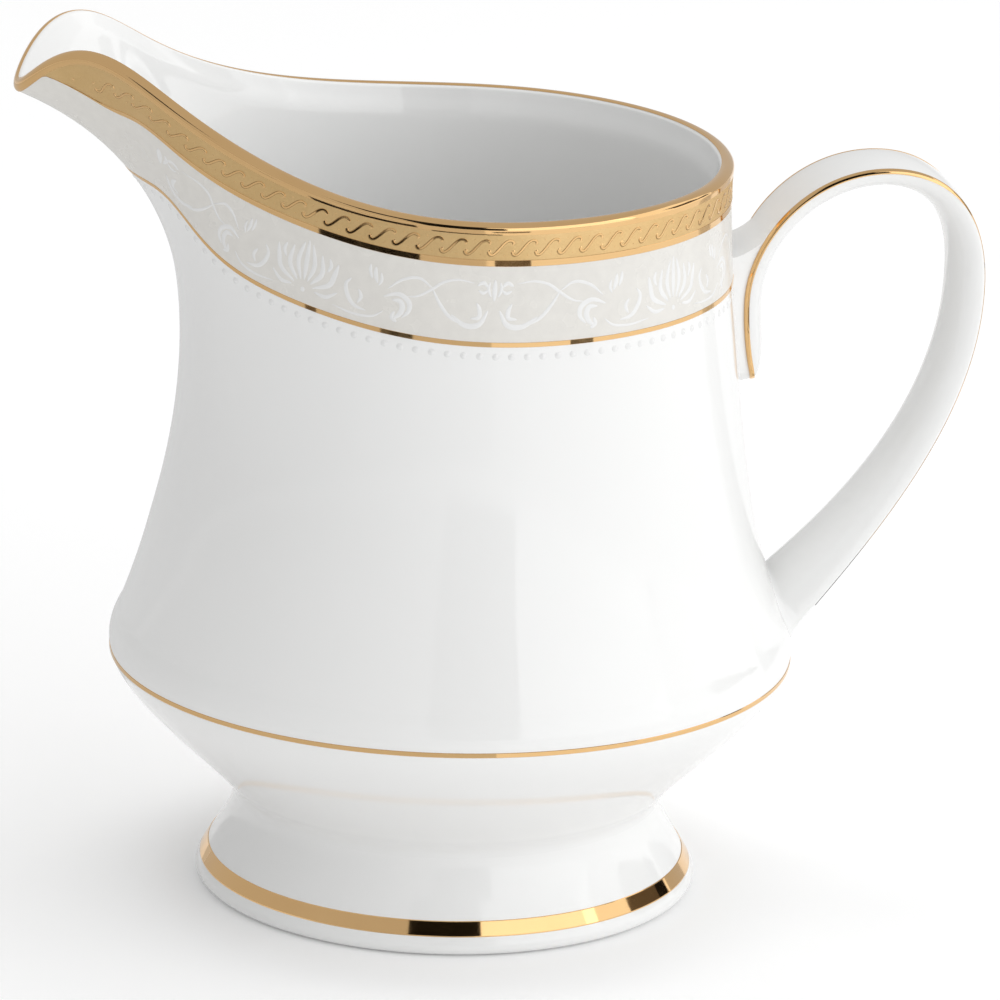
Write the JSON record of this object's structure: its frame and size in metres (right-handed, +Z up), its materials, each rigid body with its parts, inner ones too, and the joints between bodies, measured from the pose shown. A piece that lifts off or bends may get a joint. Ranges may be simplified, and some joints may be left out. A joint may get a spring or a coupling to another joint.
{
  "type": "cream jug",
  "caption": "Footed porcelain jug for pouring cream or milk, with a long rising spout, a looped strap handle, an etched gold rim band and a pearl frieze under it.",
  "frame": {"origin": "middle of the ring that the foot stands on, at table height", "axes": "+Z up, the spout points along -X and the handle along +X; Y = 0 is the plane of symmetry"},
  "size_m": [0.1223, 0.0862, 0.1112],
  "materials": {
    "porcelain": "clear gloss glaze",
    "polished_gold": "burnished fired gold",
    "etched_gold": "matt fired gold over an etched pattern",
    "pearl_enamel": "satin pearl enamel"
  },
  "bodies": {
    "root": {"bowl": "porcelain", "foot": "porcelain", "handle": "porcelain", "lip_gilding": "polished_gold", "etched_gold_band": "etched_gold", "rim_gold_line": "polished_gold", "pearl_frieze": "pearl_enamel", "frieze_gold_line": "polished_gold", "bead_row": "porcelain", "belly_gold_line": "polished_gold", "foot_gold_band": "polished_gold", "handle_gold_lines": "polished_gold"}
  },
  "joints": []
}
